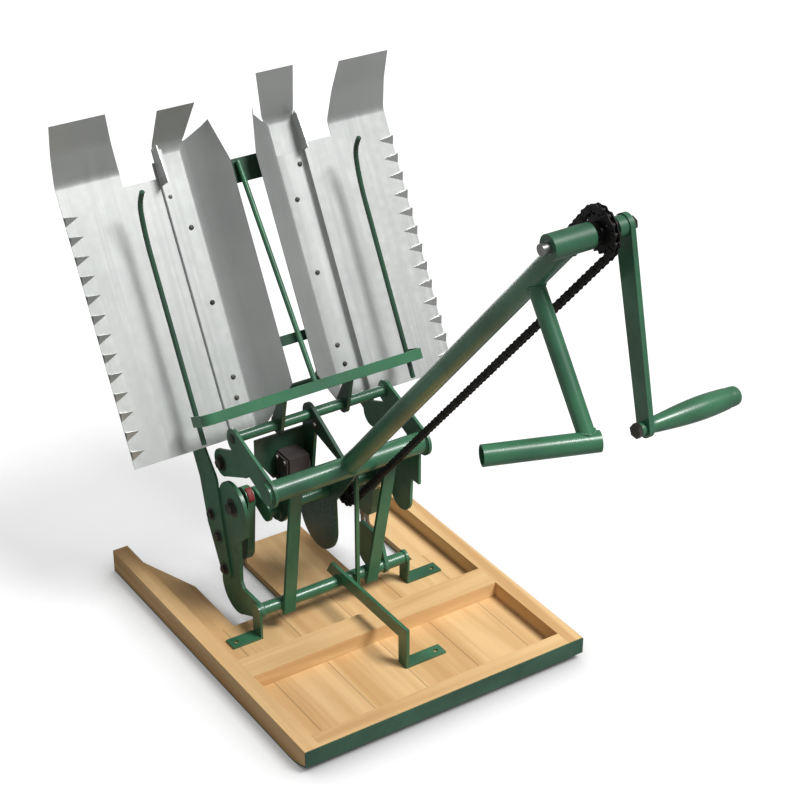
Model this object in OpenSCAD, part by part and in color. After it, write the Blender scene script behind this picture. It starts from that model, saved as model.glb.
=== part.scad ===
// Two-row hand-cranked rice transplanter on a wooden sled.
// X runs across the rows, +Y away from the operator, +Z up.
// The origin lies on the ground under the middle of the sled.

/* [Sled] */
// Width of the sled over its side rails
sled_w = 530; // [480:5:620]
// Length of the sled
sled_l = 650; // [600:5:720]
// Height of the rails' top above the ground
rim_h = 42; // [36:1:60]
// Thickness of a side rail
rail_t = 28; // [20:1:36]
// Thickness of the floor boards
floor_t = 12; // [8:0.5:18]
// Thickness of the sheet under the boards
sole_t = 2.5; // [1.5:0.5:4]
// Length of the upswept front end
sweep_l = 50; // [40:5:90]
// Rise of the upswept front end
sweep_h = 13; // [10:1:20]
// Depth of the front batten along the sled
front_batten_d = 30; // [20:1:45]
// Depth of the cross batten along the sled
cross_batten_d = 50; // [30:1:70]
// Distance from the front edge to the cross batten
cross_batten_y = 205; // [160:5:215]
// Distance from the front edge to the rear slots
slot_start = 374; // [365:1:390]
// Width of the middle tongue between the slots
tongue_w = 138; // [100:2:160]
// Width of each rear slot
slot_w = 110; // [95:1:118]
// Length of the middle tongue
tongue_l = 200; // [120:5:260]
// Length of the taper on a side tongue's tip
tip_taper = 140; // [60:5:200]

/* [Frame] */
// Outer diameter of the bottom cross tube
bottom_tube_d = 22; // [16:1:28]
// Height of the bottom cross tube's axis
bottom_tube_z = 63; // [55:1:75]
// Outer diameter of the main cross tube
main_tube_d = 36; // [28:1:42]
// Height of the main cross tube's axis
main_tube_z = 308; // [295:1:330]
// Distance between the side bars' inner faces
side_span = 300; // [250:1:350]
// Distance from the front edge to the upright legs
leg_start = 312; // [305:1:325]
// Distance from the front edge to the front leg's foot
front_foot_start = 117; // [100:1:140]
// Thickness of the flat bar stock
flat_t = 6; // [4:0.5:8]
// Width of the flat bar stock
flat_w = 22; // [16:1:26]
// Outer radius of a side bar's bend and of its head
side_r = 45; // [40:1:48]
// Backward run of a side bar from the bottom tube to its bend
side_run = 77; // [70:1:85]
// Width of a side bar's upright band
side_band_w = 64; // [56:1:70]
// Thickness of the struts bolted to the side bars
strut_t = 4; // [3:0.5:6]
// Thickness of the strip feet
foot_t = 4; // [3:0.5:6]
// Space between a strip foot and its side rail
foot_end_gap = 25; // [15:1:40]
// Distance of the bottom tube's right end inside the side span
right_end_in = 19; // [10:1:30]
// Sideways lean of the left leg over its length
left_leg_lean = 22; // [0:1:30]
// Sideways lean of the right leg over its length
right_leg_lean = 46; // [0:1:50]
// Bolt hole in a strip foot
foot_hole_d = 8; // [5:0.5:10]

/* [Handle] */
// Outer diameter of the handle tube
handle_d = 32; // [26:1:36]
// Distance of the crank axis in front of the main tube
crank_reach = 547; // [500:1:600]
// Height of the crank axis
crank_z = 927; // [900:1:960]
// Outer diameter of the bearing sleeve
sleeve_d = 36; // [30:1:42]
// Length of the bearing sleeve
sleeve_l = 66; // [56:1:68]
// Outer diameter of the fixed hand grip
grip_d = 30; // [28:1:34]
// Inner diameter of the fixed hand grip
grip_bore_d = 24; // [20:0.5:25]
// Length of the fixed hand grip
grip_l = 146; // [120:1:170]
// Outer diameter of the grip's post
post_d = 25; // [20:1:26]
// Share of the handle above which the post leaves it
post_up = 0.865; // [0.82:0.005:0.88]
// Length of the grip's post
post_l = 227; // [200:1:240]
// Angle of the post below the horizontal
post_drop = 54.5; // [50:0.5:58]
// Turn of the fixed grip towards the machine
grip_turn = 20; // [0:1:25]

/* [Crank and chain] */
// Diameter of the crank shaft
crank_shaft_d = 18; // [14:1:20]
// Length of the shaft end left of the sleeve
shaft_stub = 12; // [8:1:20]
// Length of the crank from axis to axis
crank_r = 278; // [220:1:290]
// Angle of the crank from straight down, towards the operator
crank_angle = 14; // [0:1:30]
// Thickness of the crank arm
crank_t = 8; // [6:0.5:10]
// Width of the crank arm at its axis
crank_w = 34; // [28:1:38]
// Width of the crank arm at its grip
crank_tip_w = 28; // [24:1:32]
// Diameter of the crank grip's spindle
spindle_d = 12; // [10:1:14]
// Length of the crank grip up to its rounded end
crank_grip_l = 150; // [130:1:160]
// Largest diameter of the crank grip
crank_grip_d = 34; // [30:1:38]
// Pitch of the roller chain
chain_pitch = 12.7; // [12.7:0.1:12.8]
// Teeth of each chain wheel
wheel_teeth = 16; // [15:1:17]
// Height of the chain's side plates
chain_plate_h = 12; // [9:0.5:12.5]
// Thickness of the chain's side plates
chain_plate_t = 1.6; // [1.2:0.1:2]
// Inner width of the chain
chain_gap = 6.4; // [5:0.1:7]
// Diameter of the chain's rollers
roller_d = 7.8; // [7:0.1:8]
// Thickness of the chain wheels
wheel_t = 5.4; // [4:0.1:5.6]

/* [Planting gear] */
// Distance of the drive shaft behind the main tube
shaft_back = 84; // [80:1:90]
// Height of the drive shaft
shaft_z = 215; // [210:1:225]
// Outer diameter of the drive shaft's tube
shaft_d = 22; // [18:1:24]
// Throw of the planting cranks
throw_r = 40; // [30:1:42]
// Angle of the planting cranks above the horizontal
throw_angle = 20; // [0:1:30]
// Thickness of a planting crank
web_t = 6; // [5:0.5:7]
// Diameter of the planting crank pins
pin_d = 14; // [10:1:16]
// Thickness of a planting arm
arm_t = 14; // [10:1:16]
// Backward reach of a planting arm from its pin
arm_back = 24; // [20:1:28]
// Drop of a planting arm from its pin
arm_drop = 97; // [85:1:100]
// Radius of a planting arm's leaf-shaped lower end
leaf_r = 34; // [24:1:35]
// Reach of the fork below the middle of that leaf
fork_l = 57; // [50:1:62]

/* [Trays] */
// Lean of the trays back from upright
tray_lean = 28.5; // [26:0.5:31]
// Height of the trays' lower edge
tray_z = 331; // [325:1:345]
// Distance of the trays' lower edge behind the main tube
tray_back = 146; // [140:1:160]
// Length of a tray's sheet up to its lips
tray_l = 463; // [420:1:480]
// Width of a tray's sheet
tray_w = 229; // [215:1:240]
// Half of the gap between the trays
tray_gap = 78; // [74:1:84]
// Thickness of the tray sheet
sheet_t = 1.5; // [1:0.1:2]
// Depth of a tray's inner wall
wall_d = 52; // [44:1:56]
// Flare of a tray's inner wall towards the middle
wall_flare = 22; // [10:1:26]
// Height of the raised edge along that floor
edge_h = 12; // [6:1:16]
// Length of the inner wall beyond the sheet's fold
wall_over = 22; // [10:1:30]
// Extra height of the inner wall's outer corner
wall_peak = 24; // [10:1:30]
// Height of the inner lip above its fold
wall_lip_h = 80; // [60:1:90]
// Width of the inner wall's screwed floor
flange_w = 54; // [40:1:58]
// Height of the lips above the fold
lip_h = 105; // [85:1:120]
// Width of the outer lip at its fold
outer_lip_w = 112; // [95:1:120]
// Width of the inner lip at its fold
inner_lip_w = 72; // [60:1:80]
// Number of teeth pressed into a tray's outer edge
tooth_count = 13; // [8:1:14]
// Inward length of a pressed tooth
tooth_l = 24; // [14:1:30]
// Width of a pressed tooth at the sheet's edge
tooth_w = 15; // [8:1:20]
// Height that a pressed tooth stands out of the sheet
tooth_rise = 6; // [3:0.5:8]
// Free travel of the trays to either side
tray_travel = 45; // [30:1:46]
// Distance of the retaining rods in front of the sheet
rod_off = 45; // [35:1:52]
// Diameter of the retaining rods
rod_d = 9; // [6:0.5:10]
// Place of a retaining rod across its tray
rod_x = 200; // [180:1:215]
// Diameter of the rails that the trays slide on
rail_d = 18; // [14:1:20]
// Distance of the front slide rail behind the main tube
front_rail_back = 114; // [110:1:118]
// Height of the front slide rail
front_rail_z = 352; // [348:1:356]
// Distance of the rear slide rail behind the main tube
rear_rail_back = 240; // [232:1:250]
// Height of the rear slide rail
rear_rail_z = 327; // [320:1:335]
// Height of the holder bar across the trays
holder_h = 18; // [14:1:22]

/* [Hidden] */
$fn = 48;

wood = [0.82, 0.66, 0.45];
green = [0.2, 0.42, 0.29];
dark_green = [0.12, 0.24, 0.17];
zinc = [0.82, 0.83, 0.82];
chain_black = [0.14, 0.12, 0.13];
steel = [0.55, 0.56, 0.55];

// Clearances: welded seats, slow sliding seats, running bores and pressed bores
weld_gap = 0.1;
slide_gap = 0.3;
run_gap = 0.05;
press_gap = 0.02;
eps = 0.01;

sled_front = -sled_l/2;
sled_rear = sled_l/2;
floor_top = sole_t + floor_t;
rail_in = sled_w/2 - rail_t;
slot_y = sled_front + slot_start;
slot_in = tongue_w/2;
slot_out = slot_in + slot_w;

half_span = side_span/2;
bottom_right = half_span - right_end_in;
bracket_t = 5;
bracket_x = half_span - 7;
main_left = -half_span - 4;
main_right = bracket_x + bracket_t + 1;
left_leg_x = -half_span*0.707;
middle_leg_x = half_span*0.193;
right_leg_x = half_span*0.373;
chain_x = half_span*0.307;
web_x = half_span - 46;

leg_y = sled_front + leg_start;
main_y = leg_y - main_tube_d/2;
bottom_y = leg_y + flat_t + bottom_tube_d/2;
leg_over = 13;

shaft_y = main_y + shaft_back;
crank_y = main_y - crank_reach;
wheel_r = chain_pitch/(2*sin(180/wheel_teeth));
wheel_tip = wheel_r - roller_d/2 - 0.6;
crank_x = chain_x + 38;
spindle_y = crank_y - crank_r*sin(crank_angle);
spindle_z = crank_z - crank_r*cos(crank_angle);
pin_y = shaft_y + throw_r*cos(throw_angle);
pin_z = shaft_z + throw_r*sin(throw_angle);
arm_x = web_x + web_t + 6;
pin_head_t = 4;

handle_slope = atan2(crank_z - main_tube_z, crank_reach);
post_y = main_y - crank_reach*post_up;
post_z = main_tube_z + (crank_z - main_tube_z)*post_up;
grip_y = post_y - post_l*cos(post_drop);
grip_z = post_z - post_l*sin(post_drop);

tray_y = main_y + tray_back;
front_rail_y = main_y + front_rail_back;
rear_rail_y = main_y + rear_rail_back;
holder_off = 90;
holder_up = 48;
holder_t = 4;
spreader_h = 20;
spreader_off = 22;

// Place a flat outline, drawn in (Y, Z), as a plate from x over t along X
module plate_yz(x, t) {
    translate([x, 0, 0]) rotate([90, 0, 90]) linear_extrude(t) children();
}

// Outline between the two straight tangents of two circles
module band(a, ra, b, rb) {
    d = norm(b - a);
    turn = atan2(b[1] - a[1], b[0] - a[0]);
    lean = acos((ra - rb)/d);
    polygon([
        a + ra*[cos(turn + lean), sin(turn + lean)],
        a + ra*[cos(turn - lean), sin(turn - lean)],
        b + rb*[cos(turn - lean), sin(turn - lean)],
        b + rb*[cos(turn + lean), sin(turn + lean)]
    ]);
}

// The same outline a little narrower, so that its edges cross the circles instead of touching them
cross_in = 0.5;

module neck(a, ra, b, rb) {
    band(a, ra - cross_in, b, rb - cross_in);
}

// Outline that wraps two circles with straight tangents
module wrap(a, ra, b, rb) {
    translate(a) circle(ra);
    translate(b) circle(rb);
    band(a, ra, b, rb);
}

// Round bar along X
module bar_x(d, x0, x1, y, z) {
    translate([x0, y, z]) rotate([0, 90, 0]) cylinder(d = d, h = x1 - x0);
}

// Round bar between two points
module bar(p, q, d) {
    v = q - p;
    translate(p) rotate([0, acos(v[2]/norm(v)), atan2(v[1], v[0])]) cylinder(d = d, h = norm(v));
}

// Draw on both sides of the machine's middle plane
module both_sides() {
    children();
    mirror([1, 0, 0]) children();
}

// Frame of the trays: X across, Z up the sheet, -Y out of its face
module tray_frame() {
    translate([0, tray_y, tray_z]) rotate([-tray_lean, 0, 0]) children();
}

// Point of the tray frame in the machine frame
function tray_point(x, out, up) = [
    x,
    tray_y + up*sin(tray_lean) - out*cos(tray_lean),
    tray_z + up*cos(tray_lean) + out*sin(tray_lean)
];

// Height of the sled's underside above the ground along its length
sweep_steps = 10;
function sweep(s) = sweep_h*pow(1 - s/sweep_l, 2);
function sweep_line(lift) = [
    for (i = [0:sweep_steps]) [sled_front + sweep_l*i/sweep_steps, lift + sweep(sweep_l*i/sweep_steps)]
];

module rail_outline() {
    polygon(concat(sweep_line(sole_t), [[sled_rear, sole_t], [sled_rear, rim_h], [sled_front, rim_h]]));
}

// The two rear slots with the tapered tips of the side tongues, seen from above
module slots_plan() {
    for (side = [-1, 1]) {
        polygon([
            [side*slot_in, slot_y],
            [side*slot_out, slot_y],
            [side*slot_out, sled_rear - tip_taper],
            [side*(rail_in - 8), sled_rear],
            [side*(rail_in - 8), sled_rear + 1],
            [side*slot_in, sled_rear + 1]
        ]);
    }
    translate([-slot_in - 1, slot_y + tongue_l]) square([2*slot_in + 2, sled_l]);
}

module sole_plate() {
    lip_z = rim_h - 1;
    inner = concat(sweep_line(sole_t), [[sled_rear, sole_t]]);
    outer = concat([[sled_front - sole_t, sweep_h]], sweep_line(0), [[sled_rear, 0]]);
    top = [[sled_front, lip_z], [sled_front - sole_t, lip_z]];
    rim = [for (i = [len(inner) - 1:-1:0]) inner[i]];
    color(green) difference() {
        plate_yz(-sled_w/2, sled_w) polygon(concat(outer, rim, top));
        translate([0, 0, -1]) linear_extrude(sole_t + 2) slots_plan();
    }
}

module side_rails() {
    color(wood) both_sides() plate_yz(rail_in, rail_t) rail_outline();
}

module front_batten() {
    color(wood) intersection() {
        plate_yz(-rail_in, 2*rail_in) rail_outline();
        translate([-rail_in, sled_front, 0]) cube([2*rail_in, front_batten_d, rim_h]);
    }
}

module cross_batten() {
    color(wood) translate([-rail_in, sled_front + cross_batten_y, floor_top])
        cube([2*rail_in, cross_batten_d, rim_h - floor_top]);
}

module front_floor() {
    start = sled_front + front_batten_d;
    color(wood) intersection() {
        plate_yz(-rail_in, 2*rail_in) rail_outline();
        translate([-rail_in, start, 0]) cube([2*rail_in, slot_y - start, floor_top]);
    }
}

module middle_tongue() {
    color(wood) translate([-slot_in, slot_y, sole_t]) cube([tongue_w, tongue_l, floor_t]);
}

module side_tongues() {
    color(wood) both_sides() difference() {
        translate([slot_out, slot_y, sole_t]) cube([rail_in - slot_out, sled_rear - slot_y, floor_t]);
        translate([0, 0, -1]) linear_extrude(rim_h) slots_plan();
    }
}

module bottom_tube() {
    color(green) bar_x(bottom_tube_d, -half_span, bottom_right, bottom_y, bottom_tube_z);
}

// Upright ear beside the tube's end, bent out into a strip on the floor
module end_foot(ear_x, end_x) {
    ear_r = bottom_tube_d/2 + 2;
    difference() {
        union() {
            plate_yz(ear_x, foot_t) {
                translate([bottom_y, bottom_tube_z]) circle(ear_r);
                translate([bottom_y - ear_r, floor_top]) square([2*ear_r, bottom_tube_z - floor_top]);
            }
            translate([ear_x, bottom_y - ear_r, floor_top]) cube([end_x - ear_x, 2*ear_r, foot_t]);
        }
        translate([end_x - 12, bottom_y, floor_top - 1]) cylinder(d = foot_hole_d, h = foot_t + 2);
    }
}

module end_feet() {
    end_x = rail_in - foot_end_gap;
    color(green) {
        mirror([1, 0, 0]) end_foot(half_span + flat_t, end_x);
        end_foot(bottom_right, end_x - 11);
    }
}

// Flat bar over the bottom tube, bent down to a strip foot on the front floor
module front_leg() {
    top = bottom_tube_z + 27;
    heel = sled_front + front_foot_start;
    rear = bottom_y + 34;
    color(green) difference() {
        union() {
            plate_yz(-flat_t/2, flat_t) difference() {
                union() {
                    translate([heel, top - flat_w - 2]) square([rear - heel, flat_w + 2]);
                    translate([heel, floor_top]) square([flat_w + 2, top - floor_top]);
                }
                polygon([[rear, top + 1], [rear + 1, top - flat_w - 3], [rear - 14, top + 1]]);
            }
            translate([-flat_t/2, heel, floor_top]) cube([78, flat_w + 2, foot_t]);
        }
        bar_x(bottom_tube_d + 2*weld_gap, -flat_t, flat_t, bottom_y, bottom_tube_z);
        translate([62, heel + flat_w/2 + 1, floor_top - 1]) cylinder(d = foot_hole_d, h = foot_t + 2);
    }
}

// Flat bar behind the main tube and in front of the bottom tube, its top end leaning sideways
module leg(x, w, lean) {
    low = bottom_tube_z - leg_over;
    high = main_tube_z - 4;
    color(green) translate([x, leg_y + flat_t, 0]) rotate([90, 0, 0]) linear_extrude(flat_t)
        polygon([[-w/2, low], [w/2, low], [w/2 + lean, high], [lean - w/2, high]]);
}

module left_leg() { leg(left_leg_x, flat_w, left_leg_lean); }
module middle_leg() { leg(middle_leg_x, flat_t, 0); }
module right_leg() { leg(right_leg_x, flat_w, right_leg_lean); }

module main_tube() {
    color(green) bar_x(main_tube_d, main_left, main_right, main_y, main_tube_z);
}

// Plate that runs back from the bottom tube, bends up and ends in a round head
module side_bar_outline() {
    tail = [bottom_y, bottom_tube_z];
    tail_r = bottom_tube_d/2 + 3;
    bend = [bottom_y + side_run, floor_top + 2.5 + side_r];
    head = [shaft_y + 26, shaft_z + 10];
    notch_y = bend[0] + side_r - side_band_w;
    notch_z = bottom_tube_z + tail_r;
    difference() {
        union() {
            translate(tail) circle(tail_r);
            neck(tail, tail_r, bend, side_r);
            translate(bend) circle(side_r);
            neck(bend, side_r, head, side_r);
            translate(head) circle(side_r);
        }
        polygon([
            [tail[0] - side_run, notch_z],
            [notch_y - 8, notch_z],
            [notch_y, notch_z + 10],
            [notch_y, shaft_z - 50],
            [notch_y - 34, shaft_z - 18],
            [tail[0] - side_run, shaft_z - 18]
        ]);
    }
}

// Rounded plate on the bottom tube beside the right leg
module right_plate_outline() {
    tail = [bottom_y, bottom_tube_z];
    tail_r = bottom_tube_d/2 + 3;
    lobe = [bottom_y + 41, bottom_tube_z + 15];
    lobe_r = 46;
    top = bottom_tube_z + 52;
    difference() {
        union() {
            translate(tail) circle(tail_r);
            neck(tail, tail_r, lobe, lobe_r);
            translate(lobe) circle(lobe_r);
        }
        translate([tail[0] - lobe_r, top]) square([3*lobe_r, lobe_r]);
        translate(tail) circle(bottom_tube_d/2 + weld_gap);
    }
}

module side_bars() {
    color(dark_green) {
        mirror([1, 0, 0]) plate_yz(half_span, flat_t) side_bar_outline();
        plate_yz(web_x - 17, flat_t) right_plate_outline();
    }
}

// Struts on the left side bar and on the right bracket, which carry the rear rail
module side_struts() {
    low = [bottom_y + side_run + 26, bottom_tube_z + 27];
    low_r = 18;
    knee = [bottom_y + side_run + 54, bottom_tube_z + 102];
    knee_r = 28;
    waist = [bottom_y + side_run + 72, bottom_tube_z + 182];
    waist_r = 31;
    top = [rear_rail_y, rear_rail_z];
    top_r = 20;
    color(dark_green) {
        mirror([1, 0, 0]) plate_yz(half_span + flat_t, strut_t) {
            translate(low) circle(low_r);
            neck(low, low_r, knee, knee_r);
            translate(knee) circle(knee_r);
            neck(knee, knee_r, waist, waist_r);
            translate(waist) circle(waist_r);
            neck(waist, waist_r, top, top_r);
            translate(top) circle(top_r);
        }
        plate_yz(bracket_x + bracket_t, strut_t) {
            translate(heel) circle(top_r);
            neck(heel, top_r, top, top_r - 1);
            translate(top) circle(top_r - 1);
        }
    }
}

module rear_rail() {
    color(green) bar_x(rail_d, -half_span - flat_t, bracket_x + bracket_t, rear_rail_y, rear_rail_z);
}

module front_rail() {
    color(green) bar_x(rail_d, -bracket_x, bracket_x, front_rail_y, front_rail_z);
}

// Plates on the main tube that hold the front slide rail's ends and reach back under the trays
heel = [tray_y + 9, tray_z - 45];

module bracket_outline() {
    root = [main_y, main_tube_z];
    root_r = main_tube_d/2 + 6;
    crown = [front_rail_y - 4, front_rail_z - 3];
    crown_r = rail_d/2 + 13;
    elbow = [main_y + 83, main_tube_z + 10];
    elbow_r = 22;
    heel_r = 24;
    translate(root) circle(root_r);
    neck(root, root_r, crown, crown_r);
    translate(crown) circle(crown_r);
    translate(elbow) circle(elbow_r);
    neck(elbow, elbow_r, heel, heel_r);
    translate(heel) circle(heel_r);
}

// Guard that hangs from the right bracket beside the planting arm
module guard_outline() {
    hip = [main_y + 51, main_tube_z - 58];
    hip_r = 22;
    toe = [main_y + 63, main_tube_z - 134];
    toe_r = 30;
    translate([main_y + 8, main_tube_z - 88]) square([36, 88]);
    translate(hip) circle(hip_r);
    neck(hip, hip_r, toe, toe_r);
    translate(toe) circle(toe_r);
}

module rail_brackets() {
    color(dark_green) difference() {
        union() {
            mirror([1, 0, 0]) plate_yz(bracket_x, bracket_t) bracket_outline();
            plate_yz(bracket_x, bracket_t) {
                bracket_outline();
                guard_outline();
            }
        }
        bar_x(main_tube_d + 2*weld_gap, main_left - 1, main_right + 1, main_y, main_tube_z);
    }
}

// Plate in the middle between the main tube and the front rail
centre_t = 6;
centre_x = -4;

module centre_plate() {
    rail = [front_rail_y, front_rail_z];
    foot = [front_rail_y + 9, front_rail_z - 94];
    color(dark_green) difference() {
        plate_yz(centre_x, centre_t) {
            band([main_y, main_tube_z], 4, rail, 20);
            translate(rail) circle(20);
            band(rail, 20, foot, 16);
            translate(foot) circle(16);
        }
        bar_x(main_tube_d + 2*weld_gap, centre_x - 1, centre_x + centre_t + 1, main_y, main_tube_z);
        bar_x(rail_d + 2*weld_gap, centre_x - 1, centre_x + centre_t + 1, front_rail_y, front_rail_z);
    }
}

// Upright plate beside the centre plate, its lower left corner cut off
panel_t = 4;
panel_y = front_rail_y + 17;

module back_panel() {
    left = -half_span*0.65;
    low = front_rail_z - 112;
    high = tray_z - 9;
    color(dark_green) translate([0, panel_y + panel_t, 0]) rotate([90, 0, 0]) linear_extrude(panel_t) polygon([
        [centre_x, low],
        [centre_x, high],
        [left, high],
        [left, high - 36],
        [left + 32, low]
    ]);
}

// Cast housing of the tray feed on the back panel
module feed_box() {
    w = 38;
    d = 40;
    h = 54;
    x = centre_x - 14 - w;
    z = front_rail_z - 114;
    color(chain_black) {
        translate([x, panel_y - d, z]) cube([w, d, h]);
        translate([x - 4, panel_y - d + 3, z + 3]) cube([4 + eps, d - 6, h - 6]);
        bar_x(26, x + w - eps, x + w + 6, panel_y - d/2, z + h/2);
    }
}

// Plates under the main tube with the drive shaft's bearings, the middle one leaf-shaped
hanger_x = half_span*0.055;

module hanger_outline(lobe) {
    hub = shaft_d/2 + 14;
    leaf = [shaft_y + 30, shaft_z - 68];
    guard_r = 58;
    band([main_y, main_tube_z], main_tube_d/2 - 2, [shaft_y, shaft_z], hub);
    if (lobe) {
        band([shaft_y, shaft_z], hub, leaf, guard_r);
        translate(leaf) circle(guard_r);
    }
    translate([shaft_y, shaft_z]) circle(hub);
}

module shaft_hangers() {
    leg_back = leg_y + flat_t + weld_gap;
    color(dark_green) difference() {
        union() {
            difference() {
                for (x = [18 - web_x, web_x - 11]) {
                    plate_yz(x, flat_t) hanger_outline(false);
                }
                translate([-web_x, leg_back - shaft_back, shaft_z]) cube([2*web_x, shaft_back, shaft_z]);
            }
            bar_x(shaft_d + 18, 12 - web_x, 18 - web_x + flat_t + 10, shaft_y, shaft_z);
            plate_yz(hanger_x, flat_t) hanger_outline(true);
        }
        bar_x(main_tube_d + 2*weld_gap, main_left, main_right, main_y, main_tube_z);
        bar_x(shaft_d + 2*run_gap, main_left, main_right, shaft_y, shaft_z);
    }
}

module handle_axis(d) {
    bar([0, main_y, main_tube_z], [0, crank_y, crank_z], d);
}

module handle_tube() {
    color(green) difference() {
        handle_axis(handle_d);
        bar_x(main_tube_d + 2*weld_gap, -handle_d, handle_d, main_y, main_tube_z);
        bar_x(sleeve_d + 2*weld_gap, -handle_d, handle_d, crank_y, crank_z);
    }
}

sleeve_x = -sleeve_l/2 - 3;

module bearing_sleeve() {
    color(green) difference() {
        bar_x(sleeve_d, sleeve_x, sleeve_x + sleeve_l, crank_y, crank_z);
        bar_x(crank_shaft_d + 2*run_gap, sleeve_x - 1, sleeve_x + sleeve_l + 1, crank_y, crank_z);
    }
}

// Frame of the fixed grip: Z runs along the grip to its open end
module grip_frame() {
    translate([0, grip_y, grip_z]) rotate([0, 0, -grip_turn]) rotate([0, -90, 0]) children();
}

module grip_post() {
    color(green) difference() {
        bar([0, post_y, post_z], [0, grip_y, grip_z], post_d);
        handle_axis(handle_d + 2*weld_gap);
        grip_frame() translate([0, 0, -grip_d]) cylinder(d = grip_d + 2*weld_gap, h = 3*grip_d);
    }
}

grip_bore_l = 60;

module hand_grip() {
    color(green) grip_frame() difference() {
        translate([0, 0, -grip_d/2]) cylinder(d = grip_d, h = grip_l + grip_d/2);
        translate([0, 0, grip_l - grip_bore_l]) cylinder(d = grip_bore_d, h = grip_bore_l + 1);
    }
}

// Centre of the chain's loop: upper wheel, lower wheel
upper = [crank_y, crank_z];
lower = [shaft_y, shaft_z];
chain_dir = (lower - upper)/norm(lower - upper);
chain_side = [-chain_dir[1], chain_dir[0]];

// Point on the chain's loop, a distance along it from where it leaves the upper wheel
chain_run = norm(lower - upper);
chain_turn = 180*wheel_r/(180/PI);
chain_angle = atan2(chain_side[1], chain_side[0]);
function loop_point(s) =
    s < chain_run ? upper + chain_side*wheel_r + chain_dir*s :
    s < chain_run + chain_turn ?
        let (a = chain_angle - (s - chain_run)/chain_turn*180) lower + wheel_r*[cos(a), sin(a)] :
    s < 2*chain_run + chain_turn ? lower - chain_side*wheel_r - chain_dir*(s - chain_run - chain_turn) :
    let (a = chain_angle + 180 - (s - 2*chain_run - chain_turn)/chain_turn*180) upper + wheel_r*[cos(a), sin(a)];

module drive_chain() {
    band_out = wheel_r + chain_plate_h/2;
    band_in = wheel_r - chain_plate_h/2;
    loop = 2*chain_run + 2*chain_turn;
    links = round(loop/chain_pitch);
    color(chain_black) {
        for (x = [chain_x - chain_gap/2 - chain_plate_t, chain_x + chain_gap/2]) {
            plate_yz(x, chain_plate_t) difference() {
                wrap(upper, band_out, lower, band_out);
                wrap(upper, band_in, lower, band_in);
            }
        }
        for (i = [0:2:links - 1]) {
            p = loop_point(loop*(i + 0.5)/links);
            bar_x(roller_d, chain_x - chain_gap/2 - eps, chain_x + chain_gap/2 + eps, p[0], p[1], $fn = 6);
        }
    }
}

module crank_shaft() {
    color(steel) {
        bar_x(crank_shaft_d, sleeve_x, crank_x + crank_t + 4, crank_y, crank_z);
        bar_x(crank_shaft_d - 2, sleeve_x - shaft_stub, sleeve_x + eps, crank_y, crank_z);
    }
}

// Toothed wheel with a hub, bored for its shaft
module chain_wheel(shaft, y, z) {
    root = wheel_tip - 5;
    step = 360/wheel_teeth;
    hub_l = 14;
    color(chain_black) difference() {
        union() {
            plate_yz(chain_x - wheel_t/2, wheel_t) translate([y, z]) polygon([
                for (i = [0:wheel_teeth - 1], k = [0:3])
                    let (a = step*(i + [0.1, 0.4, 0.6, 0.9][k]), r = [root, wheel_tip, wheel_tip, root][k])
                    [r*cos(a), r*sin(a)]
            ]);
            bar_x(shaft + 14, chain_x - hub_l/2, chain_x + hub_l/2, y, z);
        }
        bar_x(shaft + 2*press_gap, chain_x - hub_l, chain_x + hub_l, y, z);
    }
}

module upper_wheel() { chain_wheel(crank_shaft_d, crank_y, crank_z); }
module lower_wheel() { chain_wheel(shaft_d, shaft_y, shaft_z); }

module crank_arm() {
    boss_l = 8;
    color(green) difference() {
        union() {
            plate_yz(crank_x, crank_t) wrap([crank_y, crank_z], crank_w/2, [spindle_y, spindle_z], crank_tip_w/2);
            bar_x(crank_w - 4, crank_x - 14, crank_x, crank_y, crank_z);
            bar_x(spindle_d, crank_x, crank_x + crank_t + grip_bore_end - 2, spindle_y, spindle_z);
            bar_x(spindle_d + 8, crank_x - boss_l, crank_x, spindle_y, spindle_z);
        }
        bar_x(crank_shaft_d + 2*press_gap, crank_x - 20, crank_x + crank_t + 1, crank_y, crank_z);
    }
}

// Spindle-shaped grip with a rounded end that turns on the crank's spindle in a blind bore
grip_bore_end = crank_grip_l - 10;

module crank_grip() {
    neck = spindle_d + 9;
    grip_steps = 8;
    dome_steps = 4;
    dome_l = 8;
    swell = 150;
    bore = spindle_d/2 + run_gap;
    end_r = neck/2 + (crank_grip_d - neck)/2*sin(swell);
    color(green) translate([crank_x + crank_t + 1, spindle_y, spindle_z]) rotate([0, 90, 0]) rotate_extrude()
        polygon(concat(
            [[bore, 0]],
            [for (i = [0:grip_steps]) let (s = i/grip_steps)
                [neck/2 + (crank_grip_d - neck)/2*sin(swell*pow(s, 1.1)), crank_grip_l*s]],
            [for (i = [1:dome_steps]) let (a = 90*i/dome_steps)
                [i == dome_steps ? 0 : end_r*cos(a), crank_grip_l + dome_l*sin(a)]],
            [[0, grip_bore_end], [bore, grip_bore_end]]
        ));
}

module drive_shaft() {
    reach = arm_x + arm_t + 1;
    color(green) {
        bar_x(shaft_d, -web_x - web_t, web_x + web_t, shaft_y, shaft_z);
        both_sides() {
            plate_yz(web_x, web_t) wrap([shaft_y, shaft_z], shaft_d/2 + 6, [pin_y, pin_z], pin_d/2 + 6);
            bar_x(pin_d, web_x + web_t - eps, reach + pin_head_t, pin_y, pin_z);
            bar_x(pin_d + 8, reach, reach + pin_head_t, pin_y, pin_z);
        }
    }
}

arm_end_y = pin_y + arm_back;
arm_end_z = pin_z - arm_drop;

fork_seat = leaf_r - 6;

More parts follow.
